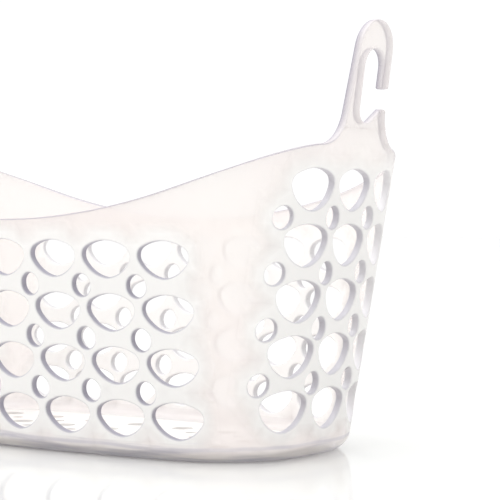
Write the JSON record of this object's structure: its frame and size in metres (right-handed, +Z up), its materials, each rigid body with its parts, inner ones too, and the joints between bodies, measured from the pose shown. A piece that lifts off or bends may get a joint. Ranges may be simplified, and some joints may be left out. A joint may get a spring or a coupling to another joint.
{
  "type": "hanging shower caddy",
  "caption": "Long translucent plastic basket with perforated leaning walls, a saddle-shaped rim, a drain floor and an open hook on each end, for hanging or standing toiletries in a shower.",
  "frame": {"origin": "middle of the base, on the plane that the basket stands on", "axes": "+Z up, +X along the basket towards the right-hand end, +Y towards the side that both hooks open to"},
  "size_m": [0.2832, 0.1446, 0.1821],
  "materials": {
    "frosted_plastic": "frosted translucent"
  },
  "bodies": {
    "root": {"side_wall": "frosted_plastic", "drain_floor": "frosted_plastic", "right_hook": "frosted_plastic", "left_hook": "frosted_plastic"}
  },
  "joints": []
}
